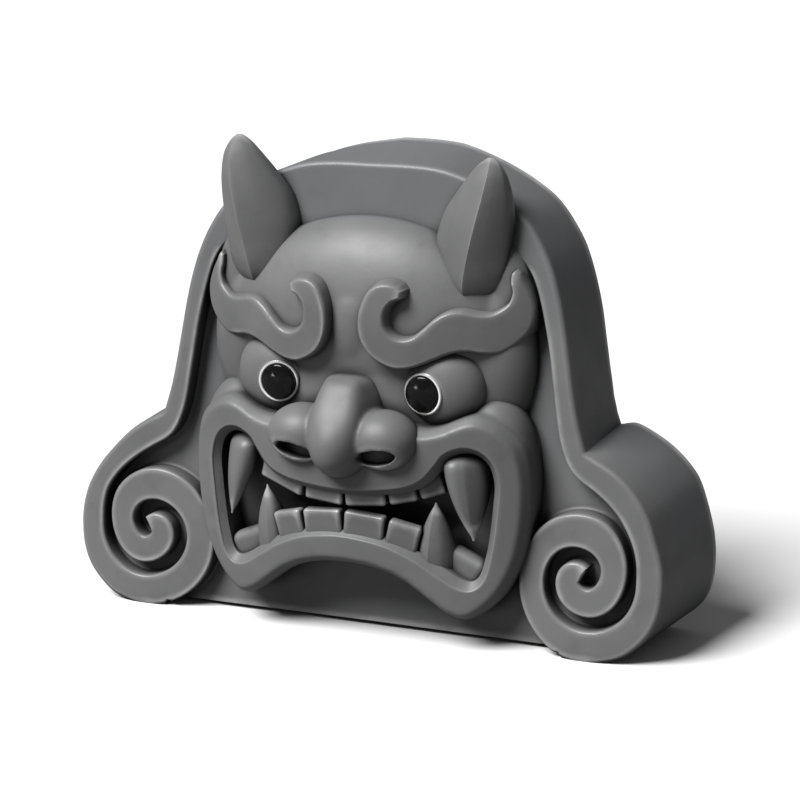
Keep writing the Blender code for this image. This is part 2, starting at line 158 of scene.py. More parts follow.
def extruded(shape, cap, base=False):
    # the new cap: the old one goes, unless it closes the shape as its base
    found = bmesh.ops.extrude_face_region(shape, geom=[cap])["geom"]
    if not base:
        bmesh.ops.delete(shape, geom=[cap], context="FACES_ONLY")
    return next(item for item in found if isinstance(item, bmesh.types.BMFace))


def cutIntoCells(shape, cell):
    # so that its wide faces can be bent
    for axis, across in enumerate((Vector((1.0, 0.0, 0.0)), Vector((0.0, 1.0, 0.0)))):
        places = [corner.co[axis] for corner in shape.verts]
        cut = math.ceil(min(places) / cell) * cell
        while cut < max(places):
            bmesh.ops.bisect_plane(shape, geom=allOf(shape), dist=0.02, plane_co=across * cut,
                                   plane_no=across)
            cut += cell


def raised(name, outline, profile, lay, cell=0.0, both=False):
    # a flat outline is extruded through the rings of its profile, cut into cells, then laid on the tile
    if sum(a.cross(b) for a, b in zip(outline, outline[1:] + outline[:1])) < 0.0:
        outline = outline[::-1]
    first = profile[0][0]
    sides = sidesOf(outline)
    inwards = roomOf(outline, sides)
    outwards = roomOf(outline, [-side for side in sides]) if first < 0.0 else inwards
    shape = bmesh.new()
    cap = shape.faces.new([shape.verts.new((*(place + side * max(first, -out)), baseLevel))
                           for place, side, out in zip(outline, sides, outwards)])
    for i, (inset, height) in enumerate(profile):
        cap = extruded(shape, cap, base=i == 0)
        for corner, place, side, room, out in zip(cap.verts, outline, sides, inwards, outwards):
            corner.co = (*(place + side * min(max(inset, -out), room)), height)
    if cell:
        cutIntoCells(shape, cell)
    for corner in shape.verts:
        corner.co = spot(*lay(*corner.co))
    return formFrom(shape, name, both)


def swept(name, rings, both=False):
    # the first ring's face is extruded from ring to ring
    shape = bmesh.new()
    cap = shape.faces.new([shape.verts.new(place) for place in rings[0]])
    for ring in rings[1:]:
        cap = extruded(shape, cap, base=ring is rings[1])
        for corner, place in zip(cap.verts, ring):
            corner.co = place
    return formFrom(shape, name, both)


def stretched(sizes):
    # stretches a form of size 1 to these sizes
    return Matrix.Diagonal((*(Vector(sizes) * mm), 1.0))


def egg(name, centre, radii, both=False):
    shape = bmesh.new()
    place = Matrix.Translation(spot(*centre)) @ stretched(radii)
    bmesh.ops.create_uvsphere(shape, u_segments=64, v_segments=40, radius=1.0, matrix=place)
    return formFrom(shape, name, both)


def settle(form):
    # the form's modifiers made real
    graph = bpy.context.evaluated_depsgraph_get()
    mesh = bpy.data.meshes.new_from_object(form.evaluated_get(graph))
    form.modifiers.clear()
    form.data = mesh
    return form


def change(body, form, operation):
    cut = body.modifiers.new("change", "BOOLEAN")
    cut.object = form
    cut.operation = operation
    cut.solver = "MANIFOLD"
    settle(body)
    bpy.data.objects.remove(form)


def add(body, form):
    change(body, form, "UNION")


def carve(body, form):
    change(body, form, "DIFFERENCE")


def soften(form, grain, passes):
    # runs the joined forms together as one skin of even grain and smooths it
    skin = form.modifiers.new("skin", "REMESH")
    skin.mode = "VOXEL"
    skin.voxel_size = grain * mm
    settle(form)
    shape = bmesh.new()
    shape.from_mesh(form.data)
    for i in range(passes):
        bmesh.ops.smooth_vert(shape, verts=shape.verts, factor=0.5, use_axis_x=True, use_axis_y=True,
                              use_axis_z=True)
    shape.to_mesh(form.data)
    shape.free()
    return form


def shade(form, crisp):
    # smooth faces, with edges sharper than the crisp angle kept
    shape = bmesh.new()
    shape.from_mesh(form.data)
    bmesh.ops.remove_doubles(shape, verts=shape.verts, dist=0.02 * mm)
    for face in shape.faces:
        face.smooth = True
    for edge in shape.edges:
        edge.smooth = edge.calc_face_angle(0.0) < math.radians(crisp)
    shape.to_mesh(form.data)
    shape.free()
    weigh = form.modifiers.new("flat faces stay flat", "WEIGHTED_NORMAL")
    weigh.keep_sharp = True


slab = {
    "rimFront": 18.15, "rimLean": 0.135, "rimEdge": 3.2, "back": 76.0, "panelDeep": 12.0,
    "step": 2.5, "foot": -140.4, "footTrim": (600.0, 200.0, 40.0), "trimDepth": 40.0,
    # how much wider and taller it is at the back: along the top, up the sides and at the scrolls
    "crownFlare": [(-150.0, 0.0), (-70.0, 0.0), (-45.0, 1.0), (-20.0, 6.0), (5.0, 10.0), (45.0, 9.5),
                   (85.0, 7.5), (115.0, 5.0), (150.0, 3.0)],
    "sideFlare": [(-16.0, 1.6), (15.0, 4.1), (60.0, 6.3), (97.0, 6.8), (125.0, 4.5), (140.0, 2.0)],
    # at the left scroll and the right one: how much wider at its side and how much taller at its top
    "scrollFlare": (2.9, 10.9), "topFlare": (2.0, 10.0),
    # from where to where each of these comes in: across, left and right for the sides, and in height
    "sideRun": ((95.0, 135.0), (55.0, 95.0)), "scrollRun": (150.0, 195.0), "topRun": (138.0, 158.0),
    "topLevels": (-100.0, -50.0), "crownLevels": (45.0, 115.0),
    # both scrolls are carved a little to the left, from this far across and this far down
    "scrollLean": 4.0, "leanRun": (100.0, 145.0), "leanDepths": (30.0, 70.0),
    "arch": [(0, 150.5), (25, 150.5), (45, 148.8), (62, 144.2), (76, 138.5), (90, 130.5), (103, 120.5),
             (113, 106.5), (120, 92), (125, 77), (129, 60), (132.5, 40), (136, 20), (139.5, 3),
             (143.6, -11), (144.9, -14.6)],
    "scrollSide": [(146.6, -15.6), (152, -18.2), (162.5, -23.8), (172, -31), (180.5, -40), (189, -51.5),
                   (196, -66), (200, -79.5), (200.9, -92.5), (199, -108), (192.5, -122), (179, -135),
                   (165, -140.8), (152, -142.8), (140, -141.2), (132.5, -138), (126, -137.4),
                   (108, -137.3)],
    "bottom": [(60, -137.2), (0, -137)],
    "rimInner": [(62, 108), (90, 105), (100, 97), (106, 89.5), (110, 81), (113.5, 70), (116.5, 58),
                 (119.5, 44), (122, 28), (124.5, 12), (127, -3), (130, -14), (134.5, -24), (141, -31),
                 (151, -37), (162, -44.5), (172, -54), (180, -66), (183.5, -78)],
    "scrollCentre": (153.0, -90.5),
    # the curled ribbon's edges, each quarter turn from its outer side, down and round
    "ribbonOuter": [49.0, 51.4, 47.6, 38.2, 24.6, 23.3, 20.4, 6.0, 4.5],
    "ribbonInner": [31.0, 32.0, 29.0, 17.0, 7.4, 6.3, 5.6],
    # quarter turns at which the groove's two walls end in the curl, and at which the inner one comes out
    "ribbonEnd": (5.7, 6.95), "ribbonStart": 1.2, "grooveSteps": 90, "grooveEdge": 1.6, "grooveFoot": 2.5,
    "panelTop": [(0, 100)], "panelFoot": [(132, -160), (0, -160)],
    "pocketFloor": 48.0, "pocketEdge": 6.0, "pocketStep": 6.0,
    "pocket": [(0, 116), (40, 115), (68, 107), (87, 92), (98, 70), (104, 40), (109, 10), (113, -20),
               (116, -60), (114, -94), (100, -104), (60, -105), (0, -105)],
}


def rimFront(across, up):
    return slab["rimFront"] + slab["rimLean"] * up


def levelIn(table, value):
    # read off between the rows of a table
    for (start, low), (end, high) in zip(table, table[1:]):
        if value <= end:
            return low + (high - low) * max(value - start, 0.0) / (end - start)
    return table[-1][1]


def flareAt(across, up):
    # steps across and up from the slab's front outline to its back one
    far = abs(across)
    right = across > 0.0
    sideways = levelIn(slab["sideFlare"], up) * easeIn(far, slab["sideRun"][right])
    if up < 0.0:
        sideways += (slab["scrollFlare"][right] - sideways) * easeIn(far, slab["scrollRun"])
        upwards = slab["topFlare"][right] * easeIn(far, slab["topRun"]) * easeIn(up, slab["topLevels"])
    else:
        upwards = levelIn(slab["crownFlare"], across) * easeIn(up, slab["crownLevels"])
    return math.copysign(sideways, across), upwards


def leant(across, up):
    # the scrolls' lean to the left
    share = easeIn(abs(across), slab["leanRun"]) * easeIn(-up, slab["leanDepths"])
    return across - slab["scrollLean"] * share


def ribbonEdge(radii, quarter):
    # a place on the ribbon's edge, some quarter turns from its outer side, down and round
    i = min(int(quarter), len(radii) - 2)
    ends = (radii[max(i - 1, 0)], radii[i], radii[i + 1], radii[min(i + 2, len(radii) - 1)])
    angle = -quarter * math.pi / 2
    way = Vector((math.cos(angle), math.sin(angle)))
    return Vector(slab["scrollCentre"]) + between(*ends, quarter - i) * way


def makeSlab():
    def lay(across, up, height):
        if atBase(height):
            sideways, upwards = flareAt(across, up)
            return leant(across, up) + sideways, slab["back"], up + upwards
        return leant(across, up), rimFront(across, up) + slab["rimEdge"] - height, up

    outline = bothSides(slab["arch"] + slab["scrollSide"] + slab["bottom"], slab["step"])
    return raised("slab", outline, roundOver(slab["rimEdge"]), lay)


def makePanelCutter():
    # the sunk panel and the grooves that curl off it, opening outwards to round the rim's edge
    steps = slab["grooveSteps"]
    outerEnd, innerEnd = slab["ribbonEnd"]
    back = slab["ribbonStart"] - innerEnd
    outerWall = [ribbonEdge(slab["ribbonInner"], outerEnd * i / steps)[:] for i in range(steps + 1)]
    innerWall = [ribbonEdge(slab["ribbonOuter"], innerEnd + back * i / steps)[:] for i in range(steps + 1)]
    half = slab["panelTop"] + slab["rimInner"] + outerWall + innerWall + slab["panelFoot"]
    outline = bothSides(half, slab["step"])
    edge = slab["grooveEdge"]
    foot = slab["grooveFoot"]
    profile = openOut(edge) + roundOver(foot, slab["panelDeep"] - foot, 3)

    def lay(across, up, height):
        return leant(across, up), ahead if atBase(height) else rimFront(across, up) + height, up

    return raised("panelCutter", outline, profile, lay)


def makePocketCutter():
    edge = slab["pocketEdge"]

    def lay(across, up, height):
        return across, behind if atBase(height) else slab["pocketFloor"] + edge - height, up

    return raised("pocketCutter", bothSides(slab["pocket"], slab["pocketStep"]), roundOver(edge), lay)


def makeFootCutter():
    # takes off what reaches below the feet
    shape = bmesh.new()
    place = Matrix.Translation(spot(0.0, slab["trimDepth"], slab["foot"] - slab["footTrim"][2] / 2))
    bmesh.ops.create_cube(shape, size=1.0, matrix=place @ stretched(slab["footTrim"]))
    return formFrom(shape, "footCutter")


head = {
    # where each egg lies and its half sizes
    "dome": ((0.0, 35.0, 50.0), (99.0, 40.0, 69.0)),
    "face": ((0.0, 34.5, 6.0), (103.0, 38.5, 78.0)),
    "temple": ((81.0, 34.0, 36.0), (28.5, 22.5, 52.0)),
    "hornSeat": ((90.0, 37.0, 72.0), (18.0, 16.0, 36.0)),
    "glabella": ((0.0, 14.0, 54.0), (26.0, 21.0, 34.0)),
    "cheek": ((86.0, 22.0, -22.0), (26.0, 27.0, 37.0)),
    "lobe": ((94.0, 33.0, -30.0), (21.0, 20.0, 36.0)),
    "jowl": ((85.0, 34.0, -56.0), (23.0, 20.0, 44.0)),
    "skin": 1.5, "skinPasses": 6, "muzzleSkin": 1.2, "muzzlePasses": 4,
}
jaw = {
    "outline": [(0, -4), (40, -1), (50, -1.5), (56, -1), (63, 1), (70, 4.2), (78, 7), (86, 7.2),
                (96, 3.5), (104.5, -3.5), (110.5, -12), (113.8, -25), (115, -40), (113.5, -61),
                (110, -80), (104, -95), (97, -106), (88, -115), (77, -120.5), (65, -117), (54, -109),
                (42, -100), (29, -93.5), (15, -90), (0, -89)],
    # depth of the front in the middle, how it bows to the sides and how it leans
    "front": -21.0, "bow": 0.0018, "lean": 0.04, "back": 32.0, "thick": 10.0,
    "step": 3.0, "cell": 7.0,
    # the side slopes in to the flat face: how far in and how high
    "side": [(0.0, 0.0), (0.5, 4.0), (3.0, 7.5), (4.4, 9.3), (5.0, 9.8), (5.8, 10.0)],
    "mouth": [(0, -41), (20, -40), (40, -37), (52, -31.5), (60, -22.5), (66, -15), (76, -11), (86, -13),
              (94, -21), (97.5, -34), (96.5, -50), (94.5, -68), (92, -82), (88, -94), (81, -99.5),
              (72, -98), (60, -90.5), (46, -81.5), (30, -74.5), (15, -71.3), (0, -70)],
    # how far in and how deep the slope of its wall ends, and how much further in its floor lies
    "mouthEdge": 1.2, "mouthSlope": (4.2, 6.0), "mouthFoot": 0.6, "mouthFloor": 14.0, "mouthStep": 2.5,
}


def jawFront(across, up):
    return jaw["front"] + jaw["bow"] * across ** 2 + jaw["lean"] * up


def makeJaw():
    def lay(across, up, height):
        return across, jaw["back"] if atBase(height) else jawFront(across, up) + jaw["thick"] - height, up

    return raised("jaw", bothSides(jaw["outline"], jaw["step"]), jaw["side"], lay, cell=jaw["cell"])


def makeMouthCutter():
    slope, deep = jaw["mouthSlope"]
    floor = 2.0 * deep      # a height that stands for the floor's level
    profile = openOut(jaw["mouthEdge"]) + [(slope, deep), (slope + jaw["mouthFoot"], floor)]

    def lay(across, up, height):
        if atBase(height):
            return across, ahead, up
        return across, jawFront(across, up) + height if height < floor else jaw["mouthFloor"], up

    return raised("mouthCutter", bothSides(jaw["mouth"], jaw["mouthStep"]), profile, lay)


def makeHead():
    body = egg("head", *head["dome"])
    add(body, egg("face", *head["face"]))
    add(body, egg("glabella", *head["glabella"]))
    for name in ("temple", "hornSeat"):
        add(body, egg(name, *head[name], both=True))
    return soften(body, head["skin"], head["skinPasses"])


def makeMuzzle():
    # cheeks and mouth band run into one another
    body = makeJaw()
    for name in ("cheek", "lobe", "jowl"):
        add(body, egg(name, *head[name], both=True))
    return soften(body, head["muzzleSkin"], head["muzzlePasses"])


brow = {
    "outline": [(36, 81.2), (32, 83.8), (24.8, 84.3), (19, 81.3), (15.7, 76.5), (12.9, 69), (12, 61),
                (13.2, 53), (17, 45.5), (22.5, 40.5), (30, 36.8), (36, 35.8), (44, 37), (54, 40.8),
                (62, 44.3), (69, 46.2), (76, 46.4), (84, 45), (92, 44.8), (99, 48.5), (105, 54),
                (108.8, 61), (109.5, 70), (106.5, 79), (102.5, 86), (99.5, 91), (98.8, 86), (100, 79),
                (98, 72.5), (93.5, 68.5), (87.5, 65.7), (80, 66), (72, 68), (64.5, 67.5), (57.5, 63.5),
                (51.5, 58), (45.5, 53), (40, 51.2), (34.5, 51.5), (29.5, 54.5), (26.2, 59.5),
                (25.5, 66.5), (27.3, 72.3), (31.2, 76.6), (35.5, 78.3)],
    # its side leans in to the flat face: how far in and how high
    "side": [(-3.0, 0.0), (-2.2, 5.0), (-1.6, 8.0), (-1.25, 8.8), (-0.8, 9.4), (-0.2, 9.85), (0.5, 10.0)],
    # depth of the front in the middle, how it bows to the sides, and above which level it bows back
    "front": -14.0, "bow": 0.0031, "crest": 50.0, "crestBow": 0.003, "back": 34.0, "thick": 10.0,
    "step": 2.0, "cell": 6.0,
}
eye = {
    "ball": ((54.5, 15.0, 20.0), (29.5, 20.5, 29.0)),
    "pupilAt": (48.8, -5.9, 18.8), "pupilRadius": 11.2, "pupilDeep": 4.0, "pupilBulge": 1.4,
    "pupilEdge": 1.2, "gap": 0.3,
    "lashRadius": 12.3, "lashWidth": 2.4, "lashBehind": 2.9, "lashTurn": -8.0,
}


def makeBrow():
    def lay(across, up, height):
        if atBase(height):
            return across, brow["back"], up
        crest = brow["crestBow"] * max(up - brow["crest"], 0.0) ** 2
        return across, brow["front"] + brow["bow"] * across ** 2 + crest + brow["thick"] - height, up

    outline = closedCurve(brow["outline"], brow["step"])
    return raised("brow", outline, brow["side"], lay, cell=brow["cell"], both=True)


def makeLash():
    # a thin ring laid round each pupil, turned a little outwards
    shape = bmesh.new()
    rim = Matrix.Translation((eye["lashRadius"] * mm, 0.0, 0.0))
    bmesh.ops.create_circle(shape, segments=12, radius=eye["lashWidth"] / 2 * mm, matrix=rim)
    bmesh.ops.spin(shape, geom=shape.verts[:] + shape.edges[:], cent=(0.0, 0.0, 0.0), axis=(0.0, 1.0, 0.0),
                   angle=2 * math.pi, steps=56, use_merge=True)
    bmesh.ops.remove_doubles(shape, verts=shape.verts, dist=0.01 * mm)
    across, depth, up = eye["pupilAt"]
    place = Matrix.Translation(spot(across, depth + eye["lashBehind"], up))
    bmesh.ops.transform(shape, verts=shape.verts,
                        matrix=place @ Matrix.Rotation(math.radians(eye["lashTurn"]), 4, "Z"))
    return formFrom(shape, "lash", both=True)


def makePupil(name, side, radius, bulge):
    # half a section, spun round the line of sight: bulging front, rounded edge, straight side, flat back
    shape = bmesh.new()
    across, depth, up = eye["pupilAt"]
    edge = eye["pupilEdge"]
    section = [(0.0, -bulge), (radius * 0.5, -bulge * 0.75), (radius - edge, 0.0),
               (radius - 0.35 * edge, 0.3 * edge), (radius, edge), (radius, eye["pupilDeep"]),
               (0.0, eye["pupilDeep"])]
    corners = [shape.verts.new(spot(side * across + far, depth + deep, up)) for far, deep in section]
    for a, b in zip(corners, corners[1:]):
        shape.edges.new((a, b))
    bmesh.ops.spin(shape, geom=shape.verts[:] + shape.edges[:], cent=spot(side * across, depth, up),
                   axis=(0.0, 1.0, 0.0), angle=2 * math.pi, steps=64, use_merge=True)
    bmesh.ops.remove_doubles(shape, verts=shape.verts, dist=0.01 * mm)
    return formFrom(shape, name)


nose = {
    # level, half width, front, base and how round its section is, from the top of the bridge down
    "drop": [(27.5, 8.0, -7.0, 6.0, 0.0), (26.5, 13.5, -13.0, 6.0, 0.0), (23.5, 17.5, -18.5, 6.0, 0.0),
             (15.0, 21.5, -25.5, 6.0, 0.0), (5.0, 24.0, -33.0, 6.0, 0.15), (-5.0, 25.0, -39.5, 6.0, 0.6),
             (-13.0, 25.0, -41.8, 6.0, 0.9), (-21.0, 23.0, -40.5, 6.0, 1.0),
             (-28.0, 18.0, -34.5, 6.0, 1.0), (-32.0, 11.5, -27.0, 6.0, 1.0),
             (-33.5, 5.0, -20.0, 6.0, 1.0)],
    "section": [(1.0, 0.0), (0.96, 0.2), (0.82, 0.55), (0.66, 0.88), (0.5, 0.99), (0.25, 1.03),
                (0.0, 1.04), (-0.25, 1.03), (-0.5, 0.99), (-0.66, 0.88), (-0.82, 0.55), (-0.96, 0.2),
                (-1.0, 0.0)],
    "wing": ((27.0, -14.0, -9.0), (23.0, 20.0, 18.5)),
    "nostril": ((27.5, -28.0, -16.5), (13.0, 20.0, 5.4)), "nostrilTurn": -10.0,
    "sectionPoints": 33, "rings": 40, "skin": 1.0, "skinPasses": 6,
}


def makeNose():
    rings = []
    section = openCurve(nose["section"], nose["sectionPoints"])
    for level, width, front, base, roundness in openCurve(nose["drop"], nose["rings"]):
        ring = []
        for i, (x, y) in enumerate(section):
            turn = math.pi * i / (len(section) - 1)
            x += (math.cos(turn) - x) * roundness
            y += (math.sin(turn) - y) * roundness
            ring.append(spot(width * x, base + (front - base) * y, level))
        rings.append(ring)
    body = swept("nose", rings)
    add(body, egg("wing", *nose["wing"], both=True))
    centre, radii = nose["nostril"]
    hole = egg("nostril", (0.0, 0.0, 0.0), radii)
    place = Matrix.Translation(spot(*centre)) @ Matrix.Rotation(math.radians(nose["nostrilTurn"]), 4, "Y")
    hole.data.transform(place @ Matrix.Translation(-spot(0.0, 0.0, 0.0)))
    twin = hole.modifiers.new("other side", "MIRROR")
    twin.use_mirror_merge = False
    carve(body, settle(hole))
    return soften(body, nose["skin"], nose["skinPasses"])


teeth = {
    # where one ends and the next begins: in the right half, then in the left one
    "upper": {"edges": ([0.0, 27.0, 45.0, 61.0], [0.0, 27.0, 61.0]),
              "tip": -52.5, "rise": 0.0028, "root": -34.0, "front": -18.0, "bow": 0.0034},
    "lower": {"edges": ([0.0, 27.0, 48.0], [0.0, 27.0, 48.0]),
              "tip": -55.0, "rise": -0.0035, "root": -78.0, "front": -21.0, "bow": 0.0024},
    "thick": 8.0, "gap": 0.5, "edge": 2.3,
}
fangs = {
    # root, tip, radius, how much of it is rounded at the root and how its section is turned and flattened
    "upperFang": ((74.5, 3.0, -15.5), (82.8, -9.4, -68.3), 16.5, 0.16, 48.0, 0.6),
    "lowerFang": ((55.0, -1.0, -93.0), (57.6, -7.5, -47.5), 13.0, 0.0, 20.0, 0.9),
}
cornerTooth = {"centre": (72.0, 1.5, -90.0), "size": (28.5, 13.5, 22.0), "turn": 24.0, "edge": 6.0}
fangShape = {
    # its section of size 1, then how it thins to the tip and how small it is there and at a rounded root
    "section": [(-0.45, -1.02), (0.25, -0.95), (0.82, -0.5), (1.0, 0.1), (0.7, 0.7), (0.0, 0.9),
                (-0.6, 0.75), (-0.95, 0.3), (-1.0, -0.3), (-0.82, -0.75), (-0.45, -1.02)],
    "points": 36, "rings": 24, "taper": 2.2, "tipSize": 0.05, "rootSize": 0.2,
}


def block(name, place, size, edge, both=False):
    shape = bmesh.new()
    bmesh.ops.create_cube(shape, size=1.0, matrix=place @ stretched(size))
    bmesh.ops.bevel(shape, geom=shape.edges[:], offset=edge * mm, segments=4, profile=0.5, affect="EDGES",
                    material=-1)
    return formFrom(shape, name, both)


def makeTeeth(row):
    made = []
    for side, edges in zip((1, -1), row["edges"]):
        for start, end in zip(edges, edges[1:]):
            across = side * (start + end) / 2
            slope = math.atan(2 * row["rise"] * across)
            turn = math.atan(2 * row["bow"] * across)
            tall = row["root"] - row["tip"]
            centre = spot(across, row["front"] + row["bow"] * across ** 2 + teeth["thick"] / 2,
                          row["tip"] + row["rise"] * across ** 2 + tall / 2)
            turned = Matrix.Rotation(-slope, 4, "Y") @ Matrix.Rotation(turn, 4, "Z")
            place = Matrix.Translation(centre) @ turned
            wide = (end - start) / math.cos(turn) - teeth["gap"]
            made.append(block("tooth", place, (wide, teeth["thick"], abs(tall)), teeth["edge"]))
    return made


def makeCornerTooth():
    place = (Matrix.Translation(spot(*cornerTooth["centre"]))
             @ Matrix.Rotation(math.radians(cornerTooth["turn"]), 4, "Y"))
    return block("cornerTooth", place, cornerTooth["size"], cornerTooth["edge"], both=True)


def makeFang(name, root, tip, radius, blunt, turn, flat):
    rings = []
    turned = Matrix.Rotation(math.radians(turn), 2) @ Matrix.Diagonal((1.0, flat))
    section = [turned @ place for place in openCurve(fangShape["section"], fangShape["points"] + 1)[:-1]]
    for i in range(fangShape["rings"] + 1):
        along = i / fangShape["rings"]
        centre = Vector(root).lerp(Vector(tip), along)
        size = radius * max(1.0 - along ** fangShape["taper"], fangShape["tipSize"])
        if along < blunt:
            size *= math.sqrt(1.0 - (1.0 - fangShape["rootSize"] ** 2) * (1.0 - along / blunt) ** 2)
        rings.append([spot(centre.x + size * x, centre.y + size * y, centre.z) for x, y in section])
    return swept(name, rings, both=True)


horn = {
    # level, middle across, middle depth, size, how far the ridge is moved across and the back's depth, from
    # the foot to the tip: the back of the lower half is sunk in the slab
    "rows": [(77.0, 72.0, 21.0, 6.0, -1.2, 50.0), (79.5, 72.0, 22.5, 14.0, -2.8, 50.0),
             (84.5, 72.0, 23.5, 20.5, -4.0, 50.0), (92.0, 72.3, 24.3, 24.3, -3.8, 50.0),
             (102.0, 72.8, 25.0, 26.0, -2.4, 50.0), (114.0, 74.0, 25.0, 26.2, -0.6, 50.0),
             (128.0, 77.4, 24.6, 23.6, 0.0, 37.8), (141.0, 81.4, 24.0, 18.4, 0.0, 34.3),
             (152.0, 84.2, 24.0, 12.5, 0.0, 31.0), (159.0, 85.2, 25.5, 7.0, 0.0, 29.4),
             (162.6, 85.5, 27.0, 2.0, 0.0, 28.1)],
    # section of size 1, from the ridge: down its outer side, along its back and up its inner side
    "outer": [(0.2, -0.66), (0.52, -0.43), (0.82, -0.1), (0.84, 0.16)],
    "backside": [(0.78, -0.12), (-0.1, 0.0), (-0.94, 0.0), (-1.04, -0.24)],
    "inner": [(-0.92, 0.0), (-0.46, -0.38), (0.2, -0.66)],
    "rings": 44, "points": 48, "ridgeSpread": 10.0,
    # how much longer, wider apart and higher each horn is than the rows say
    "right": (1.0, -2.0, -3.7), "left": (1.073, 0.0, -2.5),
}


def makeHorn(side):
    rings = []
    longer, aside, higher = horn[side]
    foot = horn["rows"][0][0]
    count = horn["points"]
    for level, across, depth, size, step, back in openCurve(horn["rows"], horn["rings"]):
        level = foot + (level - foot) * longer + higher
        section = [(x, depth + size * y) for x, y in horn["outer"]]
        section += [(x, back + size * y) for x, y in horn["backside"]]
        section += [(x, depth + size * y) for x, y in horn["inner"]]
        ring = []
        for i, (x, deep) in enumerate(openCurve(section, count + 1)[:-1]):
            # the ridge carries its sides along
            near = max(1.0 - min(i, count - i) / horn["ridgeSpread"], 0.0)
            place = across + aside + size * x + step * near
            ring.append(spot(place if side == "right" else -place, deep, level))
        rings.append(ring)
    return swept("horn", rings)


class Reading:
    # a node's output that can be reckoned with: each sign adds its Math node
    def __init__(self, finish, socket):
        self.finish = finish
        self.socket = socket

    def reckon(self, operation, first, second):
        return self.finish.node("ShaderNodeMath", {"operation": operation}, {0: first, 1: second})

    def __add__(self, other):
        return self.reckon("ADD", self, other)

    def __radd__(self, other):
        return self.reckon("ADD", other, self)

    def __sub__(self, other):
        return self.reckon("SUBTRACT", self, other)

    def __rsub__(self, other):
        return self.reckon("SUBTRACT", other, self)

    def __mul__(self, other):
        return self.reckon("MULTIPLY", self, other)

    def __rmul__(self, other):
        return self.reckon("MULTIPLY", other, self)

    def __pow__(self, other):
        return self.reckon("POWER", self, other)


class Finish:
    def __init__(self, name):
        self.material = bpy.data.materials.new(name)
        self.material.use_nodes = True
        self.tree = self.material.node_tree
        self.shader = self.tree.nodes["Principled BSDF"]

    def node(self, kind, settings, sockets, output=0):
        made = self.tree.nodes.new(kind)
        for key, value in settings.items():
            setattr(made, key, value)
        for key, value in sockets.items():
            self.feed(made.inputs[key], value)
        return Reading(self, made.outputs[output])

    def feed(self, socket, value):
        if isinstance(value, Reading):
            self.tree.links.new(value.socket, socket)
        elif isinstance(value, tuple) and socket.type == "RGBA":
            socket.default_value = (*value, 1.0)
        else:
            socket.default_value = value

    def noise(self, place, scale, detail, rough=0.55):
        return self.node("ShaderNodeTexNoise", {}, {"Vector": place, "Scale": scale, "Detail": detail,
                                                    "Roughness": rough})

    def ramp(self, value, limits):
        # 0 up to the first limit, 1 from the second one on
        return self.node("ShaderNodeMapRange", {"interpolation_type": "SMOOTHSTEP"},
                         {"Value": value, "From Min": limits[0], "From Max": limits[1]})

    def openness(self, reach, inside=False):
        # how open the surface is within reach; inside, how thick the clay is behind it
        return self.node("ShaderNodeAmbientOcclusion", {"samples": 8, "inside": inside},
                         {"Distance": reach}, output=1)

    def part(self, place, axis):
        return self.node("ShaderNodeSeparateXYZ", {}, {0: place}, output=axis)

    def mix(self, amount, first, second):
        return self.node("ShaderNodeMix", {"data_type": "RGBA"}, {0: amount, 6: first, 7: second}, output=2)


clay = {
    # colours: grey, pale and dark tones, a darker bluish one painted on the walls as shade, a near black
    # for specks and for the painted shade of creases and hollows, a pale one painted on edges as highlight
    # and wear, and the ring's pale one
    "grey": (0.074, 0.0743, 0.075), "pale": (0.102, 0.102, 0.1015), "dark": (0.046, 0.046, 0.047),
    "paintedWallShade": (0.070, 0.0725, 0.078), "specksAndPaintedShade": (0.005, 0.005, 0.0045), "edgeWearAndHighlight": (0.25, 0.25, 0.247),
    "polished": (0.50, 0.50, 0.495), "ringEdge": 12.7, "ringSoft": 0.5, "ringBack": -1.0, "ringFade": 1.0,
    "clouds": {"scale": 14.0, "detail": 3.0}, "smudges": {"scale": 46.0, "detail": 5.0, "rough": 0.6},
    "grains": {"scale": 900.0, "detail": 2.0, "rough": 0.6}, "dents": {"scale": 240.0, "detail": 3.0},
    "specks": 210.0, "speckPatches": {"scale": 60.0, "detail": 1.0},
    # how far the looks for creases and hollows, painted shade, and for edges, painted highlight, reach, in
    # metres
    "creaseReach": 0.009, "hollowReach": 0.045, "edgeReach": 0.0065,
    # from where to where each of these comes in, the painted wall shade's in metres
    "paleLimits": (0.35, 0.68), "darkLimits": (0.5, 0.75), "paintedWallLimits": (0.004, 0.020),
    "creaseLimits": (0.32, 0.92), "hollowLimits": (0.10, 0.58), "edgeLimits": (0.50, 0.88),
    "speckLimits": (0.04, 0.10), "patchLimits": (0.55, 0.62), "wearLimits": (0.4, 0.6),
    # how strongly each colour lies on the one before
    "paleShare": 0.55, "darkShare": 0.35, "paintedWallShare": 0.6, "paintedShadeShare": 0.85, "speckShare": 0.35,
    "edgeHighlightShare": 0.8, "evenWear": 0.55,
    # roughness, what smudges, creases and rubbing change in it, and how rubbed places shine
    "roughness": 0.50, "smudgeRough": 0.22, "creaseRough": 0.2, "rubbedRough": 0.2,
    "coat": 0.6, "coatRough": 0.22, "shine": 0.27,
    # relief of the skin: shares of the grains, smudges and dents, then strength and height in metres
    "relief": (0.25, 0.9, 0.35), "bump": 0.35, "bumpHeight": 0.0004,
}


